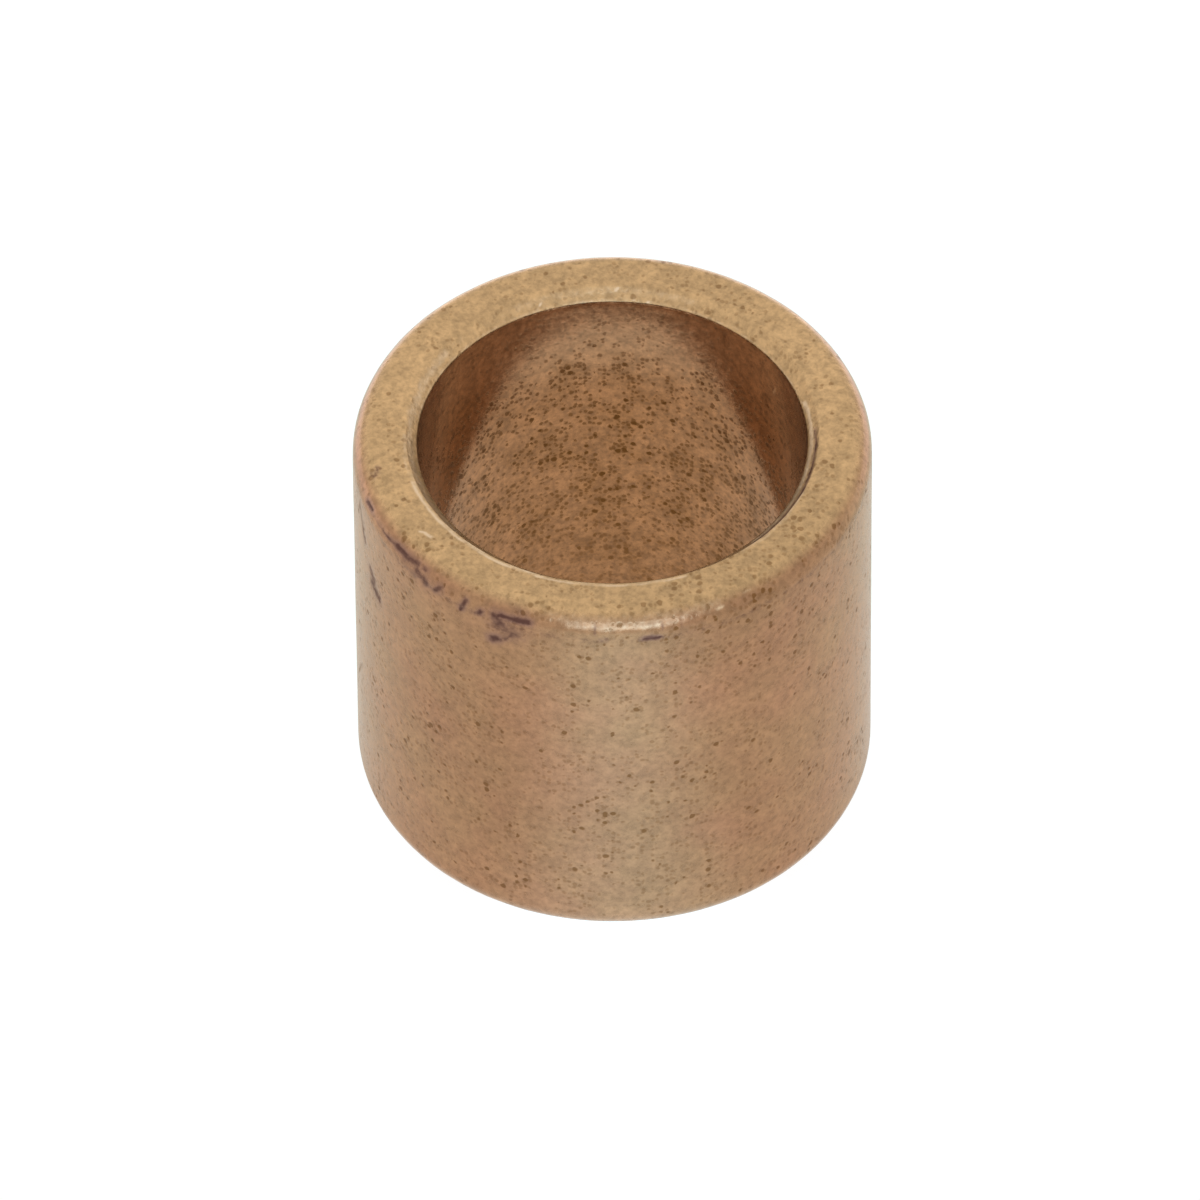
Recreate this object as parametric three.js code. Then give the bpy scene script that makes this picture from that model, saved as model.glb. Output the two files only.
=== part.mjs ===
// Plain sleeve bushing in sintered bronze: one ring, pressed from powder and sintered in one piece.
// Millimetres, +Z along the bore. The origin is the centre of the lower end face, on which it stands.
import * as THREE from "three";

// Driving dimensions
const BORE_DIAMETER = 12;
const OUTER_DIAMETER = 16;
const LENGTH = 14;

// Each outer edge is rounded by a quarter ellipse, so that the ring starts easily into its housing.
const OUTER_ROUND_RADIAL = 0.7;
const OUTER_ROUND_AXIAL = 0.85;

// Each bore edge has a 45 degree chamfer, which leads the shaft in.
const BORE_CHAMFER = 0.4;

// Fineness of the faceted surfaces
const SEGMENTS_AROUND = 96;
const OUTER_ROUND_STEPS = 7;

const boreRadius = BORE_DIAMETER / 2;
const outerRadius = OUTER_DIAMETER / 2;

// Points on an outer edge's quarter ellipse about a centre at centreHeight. The angle starts at
// startQuarter quarter turns from the radial direction and runs through one more quarter turn.
function outerRound(centreHeight, startQuarter) {
  const points = [];
  for (let step = 0; step <= OUTER_ROUND_STEPS; step += 1) {
    const angle = (startQuarter + step / OUTER_ROUND_STEPS) * (Math.PI / 2);
    const radius = outerRadius - OUTER_ROUND_RADIAL * (1 - Math.cos(angle));
    const height = centreHeight + OUTER_ROUND_AXIAL * Math.sin(angle);
    points.push(new THREE.Vector2(radius, height));
  }
  return points;
}

// The wall's section, anticlockwise from the lower outer edge, closed on its first point.
// Between the two outer rounds lie the outer wall and, over the top, the upper end face,
// a chamfer, the bore wall, the other chamfer and the lower end face.
function wallSection() {
  const section = [
    ...outerRound(OUTER_ROUND_AXIAL, 3),
    ...outerRound(LENGTH - OUTER_ROUND_AXIAL, 0),
    new THREE.Vector2(boreRadius + BORE_CHAMFER, LENGTH),
    new THREE.Vector2(boreRadius, LENGTH - BORE_CHAMFER),
    new THREE.Vector2(boreRadius, BORE_CHAMFER),
    new THREE.Vector2(boreRadius + BORE_CHAMFER, 0),
  ];
  section.push(section[0].clone());
  return section;
}

function makeSleeve() {
  const geometry = new THREE.LatheGeometry(wallSection(), SEGMENTS_AROUND);
  geometry.rotateX(Math.PI / 2);
  const sinteredBronze = new THREE.MeshStandardMaterial({
    color: 0xb08c68,
    roughness: 0.48,
    metalness: 0.85,
  });
  const sleeve = new THREE.Mesh(geometry, sinteredBronze);
  sleeve.name = "bushing_sleeve";
  return sleeve;
}

const bushing = new THREE.Group();
bushing.add(makeSleeve());

export default bushing;
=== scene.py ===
"""Looks of a sintered bronze sleeve bushing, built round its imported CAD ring, in metres."""

import math
from types import SimpleNamespace

import bpy
import numpy as np
from mathutils import Matrix, Vector
from mathutils import noise as lattice


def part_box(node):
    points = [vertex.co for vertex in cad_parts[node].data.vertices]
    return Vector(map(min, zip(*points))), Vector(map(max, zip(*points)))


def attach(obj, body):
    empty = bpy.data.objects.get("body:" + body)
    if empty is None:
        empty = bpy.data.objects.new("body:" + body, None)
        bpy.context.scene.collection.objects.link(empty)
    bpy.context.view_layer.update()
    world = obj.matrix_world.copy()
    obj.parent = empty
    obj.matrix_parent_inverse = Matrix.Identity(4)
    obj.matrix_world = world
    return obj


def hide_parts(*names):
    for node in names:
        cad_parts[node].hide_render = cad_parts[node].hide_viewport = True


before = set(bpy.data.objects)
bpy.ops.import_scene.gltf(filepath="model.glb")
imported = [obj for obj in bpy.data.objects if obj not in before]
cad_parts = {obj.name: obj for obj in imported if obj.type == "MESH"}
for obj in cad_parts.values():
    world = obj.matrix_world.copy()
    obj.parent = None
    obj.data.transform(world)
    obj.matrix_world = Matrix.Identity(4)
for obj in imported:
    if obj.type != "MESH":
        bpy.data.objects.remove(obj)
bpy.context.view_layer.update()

CAD_NODE = "bushing_sleeve"

MM = 0.001
MICRON = 0.000001


# ---------------------------------------------------------------- sizes, read from the CAD ring

def ring_sizes(node):
    """The ring's radii, edges and length, measured on the CAD node's own vertices."""
    low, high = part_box(node)
    points = np.array([v.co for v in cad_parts[node].data.vertices])
    radii = np.hypot(points[:, 0], points[:, 1])
    on_top = points[:, 2] > high[2] - MICRON
    on_wall = radii > radii.max() - MICRON
    return {
        "bore": float(radii.min()),
        "outer": float(radii.max()),
        "length": float(high[2] - low[2]),
        "face_inner": float(radii[on_top].min()),
        "face_outer": float(radii[on_top].max()),
        "wall_top": float(points[on_wall, 2].max()),
    }


SIZE = ring_sizes(CAD_NODE)
BORE = SIZE["bore"]
OUTER = SIZE["outer"]
LENGTH = SIZE["length"]
CHAMFER = SIZE["face_inner"] - BORE
ROUND_RADIAL = OUTER - SIZE["face_outer"]
ROUND_AXIAL = LENGTH - SIZE["wall_top"]


# ---------------------------------------------------------------- the ring's section

COLUMNS = 432
WALL_ROWS = 80
ROUND_ROWS = 14
FACE_ROWS = 10
CHAMFER_ROWS = 6
CORNER_ROWS = 6
BORE_ROWS = 76
CORNER_RADIUS = 0.15 * MM
CHAMFER_ANGLE = 45


def arc(centre, across, up, start, end, rows):
    """Section points (radius, height, normal radius, normal height) on an ellipse's arc, in degrees."""
    points = []
    for row in range(rows):
        angle = math.radians(start + (end - start) * row / rows)
        normal = Vector((math.cos(angle) / across, math.sin(angle) / up)).normalized()
        radius = centre[0] + across * math.cos(angle)
        height = centre[1] + up * math.sin(angle)
        points.append((radius, height, normal.x, normal.y))
    return points


def straight(start, end, rows):
    """Section points on a straight stretch, without its end point."""
    start, end = Vector(start), Vector(end)
    along = (end - start).normalized()
    points = []
    for row in range(rows):
        spot = start.lerp(end, row / rows)
        points.append((spot.x, spot.y, along.y, -along.x))
    return points


def section():
    """The wall's section, anticlockwise from the lower end of the outer wall. Each corner between a
    chamfer and the bore is rounded, as by the tool that sizes the bore."""
    wall_low, wall_high = ROUND_AXIAL, LENGTH - ROUND_AXIAL
    face_outer, face_inner = OUTER - ROUND_RADIAL, BORE + CHAMFER
    slope = math.radians(CHAMFER_ANGLE)
    tangent = CORNER_RADIUS * math.tan(slope / 2)
    corner_r = BORE + CORNER_RADIUS
    corner_low, corner_high = CHAMFER + tangent, LENGTH - CHAMFER - tangent
    end_r = BORE + tangent * math.cos(slope)
    end_low = CHAMFER - tangent * math.sin(slope)
    end_high = LENGTH - end_low
    return np.array(
        straight((OUTER, wall_low), (OUTER, wall_high), WALL_ROWS)
        + arc((face_outer, wall_high), ROUND_RADIAL, ROUND_AXIAL, 0, 90, ROUND_ROWS)
        + straight((face_outer, LENGTH), (face_inner, LENGTH), FACE_ROWS)
        + straight((face_inner, LENGTH), (end_r, end_high), CHAMFER_ROWS)
        + arc((corner_r, corner_high), CORNER_RADIUS, CORNER_RADIUS, 180 - CHAMFER_ANGLE, 180, CORNER_ROWS)
        + straight((BORE, corner_high), (BORE, corner_low), BORE_ROWS)
        + arc((corner_r, corner_low), CORNER_RADIUS, CORNER_RADIUS, 180, 180 + CHAMFER_ANGLE, CORNER_ROWS)
        + straight((end_r, end_low), (face_inner, 0), CHAMFER_ROWS)
        + straight((face_inner, 0), (face_outer, 0), FACE_ROWS)
        + arc((face_outer, wall_low), ROUND_RADIAL, ROUND_AXIAL, 270, 360, ROUND_ROWS)
    )


# ---------------------------------------------------------------- marks on the ring

# A place on the ring is (azimuth in degrees, reach in millimetres). Azimuth 0 is the front, -Y, and 90
# is +X. Reach is measured along the surface from the upper face's outer edge: it grows down the outside,
# and is negative across the face, down the chamfer and down the bore.
# Each streak runs between two places, with a half-width in millimetres and a strength from 0 to 1.
DARK_STREAKS = [
    # a scuffed line along the outer edge, at the left
    ((-72.5, 0.80), (-69.0, 0.77), 0.07, 0.95),
    ((-68.0, 0.80), (-61.0, 0.83), 0.05, 0.50),
    ((-61.0, 0.83), (-57.0, 0.78), 0.06, 0.80),
    ((-57.0, 0.77), (-53.0, 0.77), 0.09, 1.00),
    ((-53.0, 0.80), (-49.5, 0.73), 0.12, 0.75),
    ((-47.2, 0.70), (-46.6, 0.72), 0.08, 0.70),
    # smudges below it
    ((-54.0, 1.05), (-50.0, 1.15), 0.20, 0.35),
    ((-49.0, 0.95), (-46.0, 1.15), 0.17, 0.65),
    ((-43.5, 1.25), (-41.8, 0.95), 0.11, 0.70),
    ((-35.8, 1.32), (-34.6, 0.90), 0.08, 0.85),
    ((-33.0, 1.25), (-31.5, 1.20), 0.09, 0.45),
    ((-31.2, 1.18), (-30.4, 1.04), 0.09, 0.80),
    # a chipped patch, left of the front
    ((-26.0, 0.95), (-19.0, 0.88), 0.09, 1.00),
    ((-27.3, 1.00), (-25.5, 1.30), 0.15, 0.75),
    ((-23.0, 0.62), (-20.0, 0.65), 0.16, 0.35),
    ((-26.5, 1.40), (-22.0, 1.58), 0.24, 0.55),
    ((-27.8, 2.05), (-26.6, 1.95), 0.13, 1.00),
    ((-26.0, 2.00), (-22.3, 1.62), 0.09, 0.65),
    # short dashes where the wall begins
    ((-3.0, 1.17), (-1.8, 1.17), 0.05, 0.55),
    ((6.6, 1.18), (10.0, 1.22), 0.06, 0.95),
    # a smudge low on the left side, and a faint one above it
    ((-69.2, 3.35), (-67.0, 3.65), 0.17, 0.70),
    ((-68.2, 3.85), (-65.0, 4.05), 0.22, 0.70),
    ((-76.0, 1.50), (-72.5, 2.60), 0.16, 0.55),
    # nicks on the face, at the left
    ((-79.0, 0.05), (-76.5, 0.20), 0.08, 0.55),
    ((-78.5, 0.32), (-77.0, 0.27), 0.07, 0.40),
    # breaks in the painted highlight along the outer round, at the front
    ((-4.4, 0.58), (-4.1, 0.96), 0.03, 0.45),
    ((10.6, 0.60), (10.9, 0.94), 0.03, 0.40),
    ((15.3, 0.60), (15.1, 0.94), 0.03, 0.35),
    # a groove under a burr on the chamfer, at the right, sunk, with painted shade in it
    ((42.0, -1.02), (68.0, -1.02), 0.05, 0.90),
    ((68.0, -1.02), (92.0, -1.12), 0.05, 0.80),
]
# Bright streaks: mostly painted highlights and glints along the edges, with one real scratch and one fleck
HIGHLIGHT_AND_SCRATCH_STREAKS = [
    # the corner between the face and the chamfer, with a painted highlight along it
    ((-90.0, -0.88), (-72.0, -0.84), 0.06, 0.45),
    ((-72.0, -0.84), (-20.0, -0.84), 0.06, 0.85),
    ((-20.0, -0.84), (20.0, -0.84), 0.06, 0.60),
    ((38.0, -0.86), (66.0, -0.88), 0.06, 0.45),
    # a painted highlight along the outer round at the front
    ((-14.0, 0.54), (24.0, 0.52), 0.26, 0.27),
    ((-10.5, 0.76), (-5.3, 0.76), 0.11, 0.30),
    ((-3.2, 0.77), (9.8, 0.76), 0.14, 0.36),
    ((11.6, 0.75), (14.4, 0.75), 0.11, 0.26),
    ((16.0, 0.72), (19.0, 0.72), 0.10, 0.22),
    ((23.6, 0.62), (24.8, 0.66), 0.06, 0.60),
    ((30.6, 0.50), (33.0, 0.50), 0.05, 0.35),
    # painted light on the chamfer at the left
    ((-160.0, -1.12), (-125.0, -1.12), 0.20, 0.18),
    ((-125.0, -1.12), (-50.0, -1.12), 0.20, 0.42),
    # a painted highlight along the edge of the bore at the back
    ((105.0, -1.38), (180.0, -1.38), 0.05, 0.36),
    ((-180.0, -1.38), (-100.0, -1.38), 0.05, 0.36),
    # painted glints on the chamfer's grains at the back
    ((156.0, -1.12), (180.0, -1.10), 0.17, 0.26),
    ((-180.0, -1.10), (-152.0, -1.12), 0.17, 0.26),
    ((-159.6, -1.22), (-159.0, -1.22), 0.045, 1.00),
    ((-158.3, -1.34), (-157.9, -1.34), 0.035, 0.80),
    ((178.2, -1.07), (178.7, -1.07), 0.045, 1.00),
    ((173.2, -1.40), (173.7, -1.40), 0.035, 0.90),
    ((169.0, -1.40), (169.4, -1.40), 0.035, 0.80),
    ((-168.0, -1.02), (-167.6, -1.02), 0.03, 0.60),
    ((-173.5, -1.15), (-173.1, -1.15), 0.03, 0.50),
    # the burr's lip, raised, with a painted highlight along it
    ((44.0, -1.20), (80.0, -1.30), 0.09, 0.95),
    ((80.0, -1.30), (104.0, -1.28), 0.09, 0.75),
    # a scratch on the face and a fleck in the bore
    ((-55.0, -0.10), (-51.9, -0.24), 0.055, 0.90),
    ((122.0, -2.45), (123.5, -2.75), 0.05, 0.80),
]
# Darker stretches, with more pores: on the face at the front right, the front left and the back, and
# low on the wall at the left and the front.
DARKENED_STREAKS = [
    ((15.0, -0.30), (52.0, -0.30), 2.60, 1.00),
    ((-46.0, -0.30), (-10.0, -0.30), 1.60, 0.50),
    ((145.0, -0.30), (180.0, -0.30), 1.80, 0.45),
    ((-180.0, -0.30), (-150.0, -0.30), 1.80, 0.45),
    ((-36.0, 7.00), (-18.0, 9.50), 2.40, 0.45),
    ((-8.0, 9.50), (16.0, 9.50), 2.20, 0.50),
    ((-14.0, 12.00), (16.0, 12.00), 1.20, 0.35),
]
# A faint broken line runs all round the wall, just below the outer round.
WITNESS_REACH = 1.2
WITNESS_WIDTH = 0.06
# How far the marks stray from straight lines.
MARK_WAVINESS = 0.05 * MM
# How far a mark stands out of the surface, or lies in it, at its strongest.
DARK_DEPTH = 16 * MICRON
BRIGHT_HEIGHT = 10 * MICRON
WITNESS_DEPTH = 8 * MICRON
# The surface's slow swell, and the finer dents of the edges.
SWELL_HEIGHT = 5 * MICRON
DENT_HEIGHT = 4 * MICRON
# A dark mark has a halo that is this many times as wide as the mark.
HALO_SPREAD = 2.4


def strength(streaks, azimuth, reach, radius, spread=1.0):
    """How strong the streaks are at each point, from 0 to 1, with their widths times spread."""
    total = np.zeros_like(azimuth)
    mm_a_degree = np.radians(radius / MM)
    for (turn_0, reach_0), (turn_1, reach_1), width, amount in streaks:
        run_x = (turn_1 - turn_0) * mm_a_degree
        run_y = reach_1 - reach_0
        x = (azimuth - turn_0) * mm_a_degree
        y = reach / MM - reach_0
        share = np.clip((x * run_x + y * run_y) / (run_x ** 2 + run_y ** 2), 0, 1)
        away = np.hypot(x - share * run_x, y - share * run_y)
        total = np.maximum(total, amount * np.exp(-(away / (width * spread)) ** 2))
    return total


def lattice_noise(points, features_a_mm):
    """Smooth noise of about -1 to 1 at each point, with that many features in a millimetre."""
    scale = features_a_mm / MM
    fade, finer, octaves = 0.9, 2.0, 2
    return np.array([
        lattice.fractal(Vector(point) * scale, fade, finer, octaves) for point in points
    ])


def step(values, low, high):
    """0 below low and 1 above high, with a smooth rise between."""
    share = np.clip((values - low) / (high - low), 0, 1)
    return share * share * (3 - 2 * share)


# ---------------------------------------------------------------- the ring's mesh

# What the mesh tells its material at each point, as attributes from 0 to 1
MASKS = ("bore", "face", "edge", "chamfer", "dark", "halo", "bright", "dull", "witness")


def ring_points():
    """The section's points, turned round the axis: one column after another in each row."""
    rows = section()
    lengths = np.hypot(*np.diff(rows[:, :2], axis=0).T)
    along = np.concatenate([[0], np.cumsum(lengths)])
    row_reach = along[WALL_ROWS + ROUND_ROWS] - along
    radius, height, normal_r, normal_z, reach = (
        np.repeat(values[:, None], COLUMNS, axis=1).ravel() for values in (*rows.T, row_reach)
    )
    turn = np.tile(np.arange(COLUMNS) * 2 * math.pi / COLUMNS, len(rows))
    outward = np.stack([np.sin(turn), -np.cos(turn)], axis=1)
    return SimpleNamespace(
        rows=len(rows),
        radius=radius,
        reach=reach,
        azimuth=(np.degrees(turn) + 180) % 360 - 180,
        normal_r=normal_r,
        normal_z=normal_z,
        places=np.stack([radius * outward[:, 0], radius * outward[:, 1], height], axis=1),
        normals=np.stack([normal_r * outward[:, 0], normal_r * outward[:, 1], normal_z], axis=1),
    )


def ring_masks(ring):
    """The zones and the marks at each point. The edges are the outer rounds and the chamfers, and the
    faces take in the chamfers and the flatter part of the outer rounds."""
    steep = np.abs(ring.normal_z)
    edge = step(steep, 0.10, 0.40) * (1 - step(steep, 0.90, 0.98))
    chamfer = edge * (ring.normal_r < 0)
    wavy_reach = ring.reach + lattice_noise(ring.places, 1.4) * MARK_WAVINESS
    wavy_place = (ring.azimuth, wavy_reach, ring.radius)
    return {
        "bore": step(-ring.normal_r, 0.85, 0.99),
        "face": np.maximum(step(steep, 0.54, 0.985), chamfer),
        "edge": edge,
        "chamfer": chamfer,
        "dark": strength(DARK_STREAKS, *wavy_place),
        "halo": strength(DARK_STREAKS, *wavy_place, HALO_SPREAD),
        "bright": strength(HIGHLIGHT_AND_SCRATCH_STREAKS, *wavy_place),
        "dull": strength(DARKENED_STREAKS, ring.azimuth, ring.reach, ring.radius),
        "witness": np.exp(-((wavy_reach / MM - WITNESS_REACH) / WITNESS_WIDTH) ** 2),
    }


def worn_places(ring, masks):
    """The ring's points, moved along their normals by its unevenness and marks, but not past the faces."""
    swell = lattice_noise(ring.places, 0.35) * SWELL_HEIGHT
    dents = lattice_noise(ring.places, 1.5) * masks["edge"] * DENT_HEIGHT
    raised = masks["bright"] * BRIGHT_HEIGHT
    sunk = masks["dark"] * DARK_DEPTH + masks["witness"] * WITNESS_DEPTH
    moved = ring.places + ring.normals * (swell + dents + raised - sunk)[:, None]
    moved[:, 2] = np.clip(moved[:, 2], 0, LENGTH)
    return moved


def ring_quads(rows):
    """Four corners for each face. The last row joins the first, and so do the columns."""
    row, column = np.meshgrid(np.arange(rows), np.arange(COLUMNS), indexing="ij")
    next_row = (row + 1) % rows
    next_column = (column + 1) % COLUMNS
    return np.stack([
        row * COLUMNS + column,
        row * COLUMNS + next_column,
        next_row * COLUMNS + next_column,
        next_row * COLUMNS + column,
    ], axis=2).reshape(-1, 4)


def make_sleeve():
    ring = ring_points()
    masks = ring_masks(ring)
    mesh = bpy.data.meshes.new("sintered_sleeve")
    mesh.from_pydata(worn_places(ring, masks).tolist(), [], ring_quads(ring.rows).tolist())
    mesh.polygons.foreach_set("use_smooth", [True] * len(mesh.polygons))
    for name in MASKS:
        mesh.attributes.new(name, "FLOAT", "POINT").data.foreach_set("value", masks[name])
    sleeve = bpy.data.objects.new("sintered_sleeve", mesh)
    bpy.context.scene.collection.objects.link(sleeve)
    return sleeve


# ---------------------------------------------------------------- node helpers

class Tree:
    """A material's nodes, with short ways to add and join them."""

    def __init__(self, material):
        material.use_nodes = True
        self.nodes = material.node_tree.nodes
        self.links = material.node_tree.links
        self.shader = self.nodes["Principled BSDF"]

    def put(self, value, socket):
        """A socket is linked, and a number or colour is set."""
        if isinstance(value, bpy.types.NodeSocket):
            self.links.new(value, socket)
        else:
            socket.default_value = value

    def add(self, kind, inputs=(), **settings):
        node = self.nodes.new("ShaderNode" + kind)
        for name, value in settings.items():
            setattr(node, name, value)
        for name, value in dict(inputs).items():
            self.put(value, node.inputs[name])
        return node

    def math(self, operation, a, b=0.0, c=0.0):
        node = self.add("Math", operation=operation)
        for value, socket in zip((a, b, c), node.inputs):
            self.put(value, socket)
        return node.outputs[0]

    def vary(self, base, *changes):
        """base with each (mask, change) added: the whole change where the mask is 1, and none at 0."""
        for mask, change in changes:
            base = self.math("MULTIPLY_ADD", mask, change, base)
        return base

    def ramp(self, value, low, high, to_low=0.0, to_high=1.0):
        """value from low..high, taken smoothly to to_low..to_high."""
        inputs = {
            "Value": value, "From Min": low, "From Max": high, "To Min": to_low, "To Max": to_high,
        }
        return self.add("MapRange", inputs, interpolation_type="SMOOTHSTEP").outputs["Result"]

    def mix(self, share, a, b, blend="MIX"):
        node = self.add("Mix", data_type="RGBA", blend_type=blend)
        self.put(share, node.inputs[0])
        self.put(a, node.inputs[6])
        self.put(b, node.inputs[7])
        return node.outputs[2]

    def attribute(self, name):
        return self.add("Attribute", attribute_name=name).outputs["Fac"]

    def noise(self, vector, scale, detail=2.0, rough=0.5):
        inputs = {"Vector": vector, "Scale": scale, "Detail": detail, "Roughness": rough}
        return self.add("TexNoise", inputs).outputs["Fac"]

    def noise_vector(self, vector, scale):
        return self.add("TexNoise", {"Vector": vector, "Scale": scale, "Detail": 1.0}).outputs["Color"]

    def vector(self, operation, a, b=None, scale=None):
        node = self.add("VectorMath", operation=operation)
        self.put(a, node.inputs[0])
        if b is not None:
            self.put(b, node.inputs[1])
        if scale is not None:
            self.put(scale, node.inputs["Scale"])
        return node.outputs[0]


# ---------------------------------------------------------------- bronze

WALL_COLOUR = (0.374, 0.192, 0.101, 1)
WALL_DRIFT = (0.354, 0.196, 0.098, 1)
FACE_COLOUR = (0.530, 0.336, 0.162, 1)
BORE_COLOUR = (0.352, 0.172, 0.073, 1)
BORE_TOP_COLOUR = (0.465, 0.275, 0.145, 1)
# Colour of the painted highlights and glints, and of the bright scratch and fleck
HIGHLIGHT_AND_SCRATCH_COLOUR = (0.720, 0.530, 0.340, 1)
PORE_COLOUR = (0.125, 0.046, 0.003, 1)
MARK_COLOUR = (0.088, 0.035, 0.026, 1)
HALO_COLOUR = (0.225, 0.125, 0.105, 1)
BLACK = (0.0, 0.0, 0.0, 1)
# The metal's tint where it is seen at a slant
EDGE_TINT = (0.98, 0.93, 0.84, 1)
METALLIC = 0.86

# Heights in millimetres between which the bore turns into its paler top and its shaded foot
BORE_TOP = (9.5, 12.8)
BORE_FOOT = (1.5, 5.0)

# Cells in a millimetre, widest radius and softness in cells
WIDE_PORES = (4.1, 0.42, 0.12)
FINE_PORES = (6.6, 0.50, 0.18)


def surface(tree):
    """What colour, gloss and relief share: the mesh's masks, the place in millimetres, and the grain."""
    on = SimpleNamespace(**{name: tree.attribute(name) for name in MASKS})
    on.place = tree.vector("SCALE", tree.add("TexCoord").outputs["Object"], scale=1 / MM)
    bend = tree.vector("SCALE", tree.noise_vector(on.place, 6.0), scale=0.09)
    on.ragged = tree.vector("ADD", on.place, bend)
    height = tree.add("SeparateXYZ", {"Vector": on.place}).outputs["Z"]
    on.bore_top = tree.math("MULTIPLY", on.bore, tree.ramp(height, *BORE_TOP))
    on.bore_foot = tree.math("MULTIPLY", on.bore, tree.ramp(height, *BORE_FOOT, 1.0, 0.0))
    patches = tree.math("SUBTRACT", tree.noise(on.place, 1.0, 2.0), 0.5)
    on.crowd = tree.vary(patches, (on.bore_top, -0.19), (on.bore_foot, -0.03), (on.dull, 0.11))
    on.grain = tree.noise(on.ragged, 4.6, 4.0, 0.62)
    fray = tree.math("MULTIPLY_ADD", tree.noise(on.place, 5.5, 3.0, 0.6), 1.6, -0.8)
    on.fray = fray
    frayed = tree.math("ADD", on.dark, tree.math("MULTIPLY", fray, tree.math("MINIMUM", on.dark, 0.45)))
    # The dark marks: smudges and scuffs, with painted shade in the burr's groove and in the breaks of the
    # highlight
    on.smudge = tree.ramp(frayed, 0.10, 0.85, 0.0, 0.92)
    on.pores = pores(tree, on)
    return on


def pits(tree, place, share, cells_a_mm, widest, softness):
    """Scattered roundish pores: that share of the cells has one, each with a size of its own."""
    cells = tree.add("TexVoronoi", {"Vector": place, "Scale": cells_a_mm})
    luck = tree.add("SeparateColor", {"Color": cells.outputs["Color"]}).outputs[0]
    spare = tree.math("ADD", luck, tree.math("SUBTRACT", share, 1.0))
    radius = tree.ramp(spare, 0.0, 0.6, -softness, widest)
    inside = tree.math("SUBTRACT", radius, cells.outputs["Distance"])
    return tree.ramp(inside, -softness, softness)


def pores(tree, on):
    """The gaps between the sintered grains, wide and fine, which crowd in patches and in the bore."""
    wide_share = tree.vary(0.36, (on.bore, 0.17), (on.face, 0.02), (on.crowd, 2.0))
    wide_depth = tree.vary(
        0.70, (on.bore, 0.24), (on.face, -0.22), (on.bore_top, -0.38), (on.bore_foot, -0.28)
    )
    fine_share = tree.vary(0.58, (on.bore, 0.28), (on.face, -0.08), (on.crowd, 1.5))
    fine_depth = tree.vary(
        0.32, (on.bore, 0.34), (on.face, -0.04), (on.bore_top, -0.28), (on.bore_foot, -0.24)
    )
    wide = tree.math("MULTIPLY", pits(tree, on.ragged, wide_share, *WIDE_PORES), wide_depth)
    fine = tree.math("MULTIPLY", pits(tree, on.ragged, fine_share, *FINE_PORES), fine_depth)
    return tree.math("MAXIMUM", wide, fine)


def metal_colour(tree, on):
    """Each zone's own colour, with a slow drift of tint, clouds, a grain and pores."""
    drift = tree.ramp(tree.noise(on.place, 0.32, 3.0), 0.30, 0.70)
    colour = tree.mix(drift, WALL_COLOUR, WALL_DRIFT)
    colour = tree.mix(on.face, colour, FACE_COLOUR)
    colour = tree.mix(on.bore, colour, BORE_COLOUR)
    colour = tree.mix(on.bore_top, colour, BORE_TOP_COLOUR)
    crowded = tree.ramp(tree.math("MULTIPLY", on.crowd, on.bore), -0.15, 0.15, 0.0, 0.25)
    colour = tree.mix(tree.math("MULTIPLY", crowded, on.bore), colour, PORE_COLOUR)
    cloud = tree.ramp(tree.noise(on.place, 1.3, 2.0), 0.25, 0.75, 0.93, 1.07)
    palest = tree.vary(1.20, (on.bore, 0.14), (on.face, 0.05))
    darkest = tree.vary(0.80, (on.bore, -0.12), (on.face, -0.06))
    shade = tree.math("MULTIPLY", cloud, tree.ramp(on.grain, 0.22, 0.78, darkest, palest))
    shades = tree.add("CombineColor", {"Red": shade, "Green": shade, "Blue": shade}).outputs[0]
    colour = tree.mix(1.0, colour, shades, "MULTIPLY")
    # Darker in the stretches listed above, and painted shade at the bore's foot
    shadow = tree.math("MULTIPLY_ADD", on.dull, 0.13, tree.math("MULTIPLY", on.bore_foot, 0.10))
    colour = tree.mix(shadow, colour, BLACK)
    return tree.mix(on.pores, colour, PORE_COLOUR)


def marked_colour(tree, on, colour):
    """The colour with the faint line round the wall, the dark marks in their halos, some of them painted
    shade, and the painted highlights and glints, with a scratch and a fleck.
    """
    line = tree.math("MULTIPLY", on.witness, tree.ramp(on.grain, 0.35, 0.6, 0.45, 0.05))
    colour = tree.mix(line, colour, MARK_COLOUR)
    halo = tree.ramp(tree.math("MULTIPLY_ADD", on.fray, 0.2, on.halo), 0.1, 1.0, 0.0, 0.6)
    colour = tree.mix(halo, colour, HALO_COLOUR)
    colour = tree.mix(on.smudge, colour, MARK_COLOUR)
    # Painted highlights and glints along the edges, besides one scratch and one fleck
    highlight_and_scratch_share = tree.ramp(tree.math("MULTIPLY_ADD", on.fray, 0.35, on.bright), 0.1, 0.75, 0.0, 0.9)
    highlight_and_scratch_share = tree.math("MULTIPLY", highlight_and_scratch_share, tree.ramp(on.bright, 0.02, 0.2))
    return tree.mix(highlight_and_scratch_share, colour, HIGHLIGHT_AND_SCRATCH_COLOUR)


def roughness(tree, on):
    """The sized bore and the pressed edges are smoothest, and pores and marks are dull."""
    rough = tree.vary(0.29, (on.bore, -0.14), (on.face, 0.10), (on.edge, -0.11), (on.chamfer, 0.08))
    rough = tree.math("ADD", rough, tree.math("MULTIPLY_ADD", on.grain, 0.14, -0.07))
    return tree.vary(rough, (on.pores, 0.20), (on.smudge, 0.30))


def relief(tree, on):
    """The height of grains and pores, in millimetres."""
    grain_height = tree.vary(0.012, (on.bore, -0.010), (on.edge, -0.005), (on.chamfer, 0.019))
    pore_height = tree.vary(-0.010, (on.bore, 0.008))
    return tree.math("MULTIPLY_ADD", on.pores, pore_height, tree.math("MULTIPLY", on.grain, grain_height))


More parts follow.
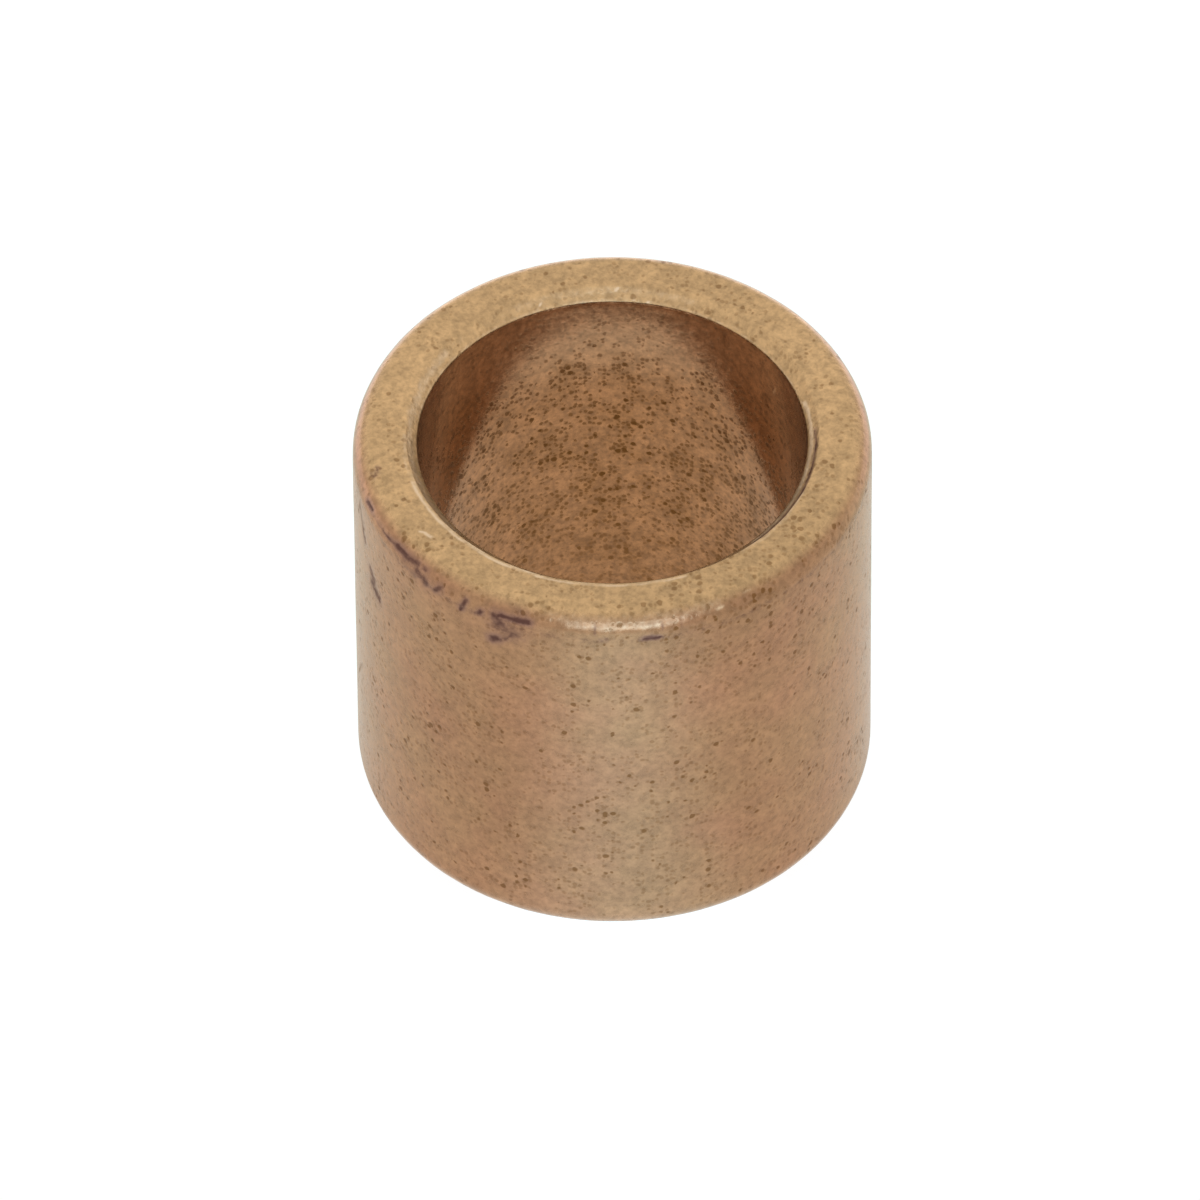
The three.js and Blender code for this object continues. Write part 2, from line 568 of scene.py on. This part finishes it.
def bronze():
    material = bpy.data.materials.new("sintered_bronze")
    tree = Tree(material)
    on = surface(tree)
    bump = tree.add("Bump", {"Height": relief(tree, on), "Distance": MM, "Strength": 1.0})
    tree.put(marked_colour(tree, on, metal_colour(tree, on)), tree.shader.inputs["Base Color"])
    tree.put(roughness(tree, on), tree.shader.inputs["Roughness"])
    tree.put(bump.outputs["Normal"], tree.shader.inputs["Normal"])
    tree.put(METALLIC, tree.shader.inputs["Metallic"])
    tree.put(EDGE_TINT, tree.shader.inputs["Specular Tint"])
    return material


# ---------------------------------------------------------------- floor, lights and camera

GLOW_UNDER = (0.97, 0.97, 0.97, 1)
GLOW_BEHIND = (0.97, 1.05, 1.03, 1)
GLOW_FAR = (1.60, 1.65, 1.95, 1)
GLOW_AHEAD = (1.22, 1.52, 1.76, 1)
# Millimetres from the middle of the ring, nearest and farthest
RING_EDGE = (6.5, 8.5)
FAR_START = (26.0, 45.0)
POOL_END = (40.0, 90.0)
# Degrees aside from the middle of the pool, which lies a little to the right
AHEAD_AZIMUTH = 2.5
AHEAD_HALF_WIDTH = 41
BEHIND_START = (50, 135)
FAR_ASIDE_START = (85, 150)


def light_table():
    """White paper lit from below, so the ring casts almost no shadow. It glows least under the ring,
    and most, and most coldly, in a pool ahead of it and far behind it. From below it is clear, to leave
    the underside in view."""
    material = bpy.data.materials.new("light_table")
    tree = Tree(material)
    place = tree.vector("SCALE", tree.add("TexCoord").outputs["Object"], scale=1 / MM)
    axes = tree.add("SeparateXYZ", {"Vector": place})
    ahead = tree.math("MULTIPLY", axes.outputs["Y"], -1.0)
    azimuth = tree.math("ARCTAN2", axes.outputs["X"], ahead)
    aside = tree.math("ABSOLUTE", tree.math("SUBTRACT", azimuth, math.radians(AHEAD_AZIMUTH)))
    away = tree.add("VectorMath", {0: place}, operation="LENGTH").outputs["Value"]
    outside = tree.ramp(away, *RING_EDGE)
    behind = tree.math("MULTIPLY", tree.ramp(aside, *map(math.radians, BEHIND_START)), outside)
    far_aside = tree.ramp(aside, *map(math.radians, FAR_ASIDE_START))
    far = tree.math("MULTIPLY", far_aside, tree.ramp(away, *FAR_START))
    pool = tree.math("MULTIPLY", tree.ramp(aside, 0.0, math.radians(AHEAD_HALF_WIDTH), 1.0, 0.0), outside)
    pool = tree.math("MULTIPLY", pool, tree.ramp(away, *POOL_END, 1.0, 0.0))
    glow = tree.mix(behind, GLOW_UNDER, GLOW_BEHIND)
    glow = tree.mix(far, glow, GLOW_FAR)
    glow = tree.mix(pool, glow, GLOW_AHEAD)
    tree.put(glow, tree.shader.inputs["Emission Color"])
    tree.put(1.0, tree.shader.inputs["Emission Strength"])
    tree.put((0.05, 0.05, 0.05, 1), tree.shader.inputs["Base Color"])
    tree.put(1.0, tree.shader.inputs["Roughness"])
    tree.put(0.0, tree.shader.inputs["Specular IOR Level"])
    clear = tree.add("BsdfTransparent").outputs[0]
    under = tree.add("NewGeometry").outputs["Backfacing"]
    sided = tree.add("MixShader", {0: under, 1: tree.shader.outputs[0], 2: clear})
    tree.put(sided.outputs[0], tree.nodes["Material Output"].inputs["Surface"])
    return material


# The floor lies just below the ring, so that the two never share a plane.
FLOOR_HALF = 1.0
FLOOR_LEVEL = -0.02 * MM


def make_floor():
    mesh = bpy.data.meshes.new("floor")
    corners = [
        (side_x * FLOOR_HALF, side_y * FLOOR_HALF, FLOOR_LEVEL)
        for side_x, side_y in ((-1, -1), (1, -1), (1, 1), (-1, 1))
    ]
    mesh.from_pydata(corners, [], [(0, 1, 2, 3)])
    floor = bpy.data.objects.new("floor", mesh)
    bpy.context.scene.collection.objects.link(floor)
    floor.data.materials.append(light_table())


def direction(azimuth, elevation):
    """Unit vector from the object towards a place; azimuth 0 is the camera's side, -Y, and 90 is +X."""
    turn, rise = math.radians(azimuth), math.radians(elevation)
    flat = math.cos(rise)
    return Vector((math.sin(turn) * flat, -math.cos(turn) * flat, math.sin(rise)))


def soft_light(name, azimuth, elevation, distance, width, height, watts, colour):
    """A soft rectangle of light that faces the middle of the ring, from metres away."""
    data = bpy.data.lights.new(name, "AREA")
    data.shape = "RECTANGLE"
    data.size, data.size_y = width, height
    data.energy = watts
    data.color = colour
    light = bpy.data.objects.new(name, data)
    bpy.context.scene.collection.objects.link(light)
    towards = direction(azimuth, elevation)
    light.location = Vector((0, 0, LENGTH / 2)) + towards * distance
    light.rotation_euler = towards.to_track_quat("Z", "Y").to_euler()


WORLD_STRENGTH = 1.02


def make_world():
    world = bpy.data.worlds.new("white_room")
    world.use_nodes = True
    background = world.node_tree.nodes["Background"]
    background.inputs["Color"].default_value = (1, 1, 1, 1)
    background.inputs["Strength"].default_value = WORLD_STRENGTH
    bpy.context.scene.world = world


VIEW_ELEVATION = 46.6
VIEW_DISTANCE = 0.64
VIEW_LENS = 619
VIEW_ROLL = 0.47
VIEW_RIGHT_OF_CENTRE = 0.413 * MM
VIEW_ABOVE_CENTRE = 0.338 * MM


def make_camera():
    """A long lens from above the front. The object stands a little right of and above the middle."""
    back = direction(0, VIEW_ELEVATION)
    level = Vector((1, 0, 0))
    upright = back.cross(level)
    roll = math.radians(VIEW_ROLL)
    right = level * math.cos(roll) - upright * math.sin(roll)
    up = upright * math.cos(roll) + level * math.sin(roll)
    centre = Vector((0, 0, LENGTH / 2))
    target = centre - right * VIEW_RIGHT_OF_CENTRE - up * VIEW_ABOVE_CENTRE
    data = bpy.data.cameras.new("camera")
    data.lens = VIEW_LENS
    camera = bpy.data.objects.new("camera", data)
    bpy.context.scene.collection.objects.link(camera)
    turn = Matrix((right, up, back)).transposed()
    camera.matrix_world = Matrix.Translation(target + back * VIEW_DISTANCE) @ turn.to_4x4()
    bpy.context.scene.camera = camera


# ---------------------------------------------------------------- the scene

bpy.context.scene.view_settings.view_transform = "Standard"
make_camera()
make_floor()
make_world()
soft_light(
    "window", azimuth=5, elevation=13, distance=0.30,
    width=0.23, height=0.18, watts=0.22, colour=(0.46, 0.70, 1.0),
)

sleeve = make_sleeve()
sleeve.data.materials.append(bronze())
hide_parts(CAD_NODE)
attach(sleeve, "root")
